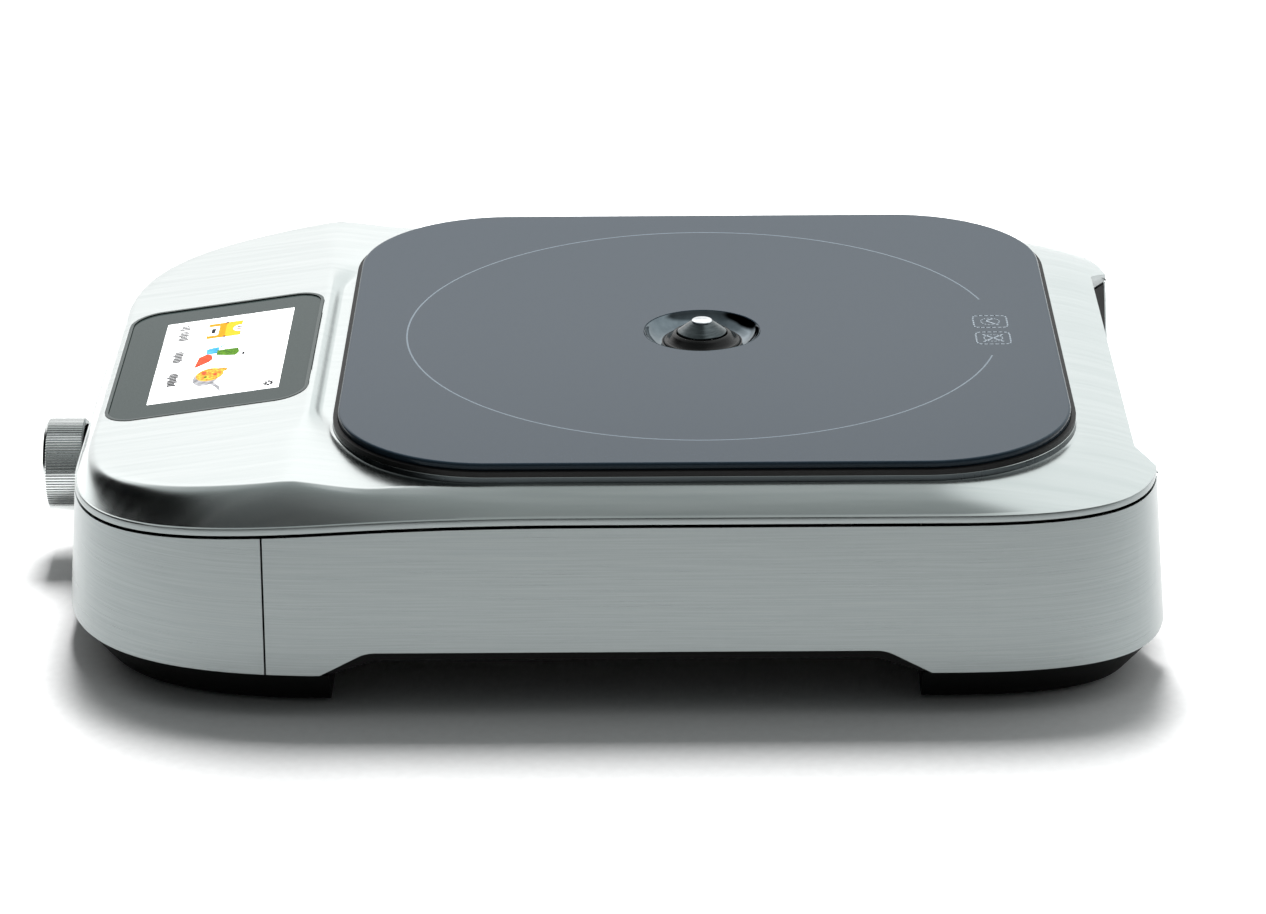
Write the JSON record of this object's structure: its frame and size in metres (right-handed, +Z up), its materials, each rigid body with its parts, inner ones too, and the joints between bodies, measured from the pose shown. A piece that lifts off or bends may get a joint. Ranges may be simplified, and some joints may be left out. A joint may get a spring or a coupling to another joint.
{
  "type": "portable induction cooker",
  "caption": "Portable induction cooker: square grey glass hob with a central temperature probe, sloping touch screen, front dial and brushed steel casing on black feet.",
  "frame": {"origin": "on the floor, under the middle of the overall box", "axes": "+Z up, the dial and screen face -Y, the exhaust faces +Y"},
  "size_m": [0.3416, 0.4704, 0.1054],
  "materials": {
    "brushed_steel": "brushed lengthways",
    "hob_glass": "grey back-printed glass ceramic, smooth",
    "black_rubber": "matte",
    "black_plastic": "fine moulded texture",
    "polished_steel": "polished",
    "satin_steel": "turned, satin",
    "spring_steel": "drawn wire",
    "white_plastic": "moulded",
    "copper": "enamelled wire",
    "ferrite": "sintered",
    "mica": "pressed sheet",
    "aluminium": "extruded",
    "turned_aluminium": "turned and knurled",
    "zinc_screw": "zinc plated",
    "circuit_board": "solder mask",
    "capacitor_case": "dipped case",
    "screen_glass": "grey-printed cover glass",
    "display": "lit panel"
  },
  "bodies": {
    "cooker": {"air_duct": "white_plastic", "base_screws": "zinc_screw", "base_tray": "black_plastic", "buzzer": "black_plastic", "coil_former": "white_plastic", "coil_posts": "white_plastic", "coil_winding": "copper", "control_board": "circuit_board", "cord_gland": "black_plastic", "dial_ring": "black_plastic", "display_bracket": "black_plastic", "encoder_body": "black_plastic", "encoder_nut": "zinc_screw", "fan_frame_left": "black_plastic", "fan_frame_right": "black_plastic", "ferrite_bars": "ferrite", "filter_board": "circuit_board", "filter_capacitors": "capacitor_case", "foot_pad_front_left": "black_rubber", "foot_pad_front_right": "black_rubber", "foot_pad_rear_left": "black_rubber", "foot_pad_rear_right": "black_rubber", "front_bracket": "black_plastic", "front_plinth": "black_plastic", "front_wrap": "brushed_steel", "gland_nut": "black_plastic", "glass_gasket": "black_rubber", "glass_plate": "hob_glass", "heatsink": "aluminium", "lcd_panel": "display", "line_choke": "copper", "mica_sheet": "mica", "power_board": "circuit_board", "power_switch": "black_plastic", "power_transistors": "black_plastic", "rear_panel": "black_plastic", "rear_plinth": "black_plastic", "screen_gasket": "black_rubber", "screen_lens": "screen_glass", "sensor_boot": "black_rubber", "sensor_guide": "white_plastic", "sensor_spring": "spring_steel", "sensor_well": "polished_steel", "shield_plate": "aluminium", "shield_screws": "zinc_screw", "side_panel_left": "brushed_steel", "side_panel_right": "brushed_steel", "terminal_block": "white_plastic", "top_cover": "brushed_steel"},
    "sensor": {"sensor_cone": "satin_steel", "sensor_cap": "polished_steel", "sensor_stem": "satin_steel"},
    "dial_plunger": {"encoder_push_plate": "white_plastic"},
    "dial": {"dial_knob": "turned_aluminium", "encoder_shaft": "satin_steel"},
    "power_button": {"power_button": "turned_aluminium"},
    "fan_left": {"fan_rotor_left": "black_plastic"},
    "fan_right": {"fan_rotor_right": "black_plastic"}
  },
  "joints": [
    {"name": "sensor_press", "type": "slide", "parent": "cooker", "child": "sensor", "axis": [0, 0, -1], "range_m": [0, 0.0048], "stiffness_N_per_m": 400, "springref_m": -0.004, "deforming": ["sensor_spring", "sensor_boot"]},
    {"name": "dial_press", "type": "slide", "parent": "cooker", "child": "dial_plunger", "axis": [0, 1, 0], "range_m": [0, 0.0008], "stiffness_N_per_m": 3000},
    {"name": "dial_turn", "type": "hinge", "parent": "dial_plunger", "child": "dial", "pos_m": [0, -0.2352, 0.0406], "axis": [0, -1, 0], "continuous": true},
    {"name": "power_button_press", "type": "slide", "parent": "cooker", "child": "power_button", "axis": [0, 1, 0], "range_m": [0, 0.001], "stiffness_N_per_m": 1000},
    {"name": "fan_left_spin", "type": "hinge", "parent": "cooker", "child": "fan_left", "pos_m": [-0.086, 0.095, 0.04], "axis": [0, 0, 1], "continuous": true},
    {"name": "fan_right_spin", "type": "hinge", "parent": "cooker", "child": "fan_right", "pos_m": [0.086, 0.095, 0.04], "axis": [0, 0, 1], "continuous": true}
  ]
}
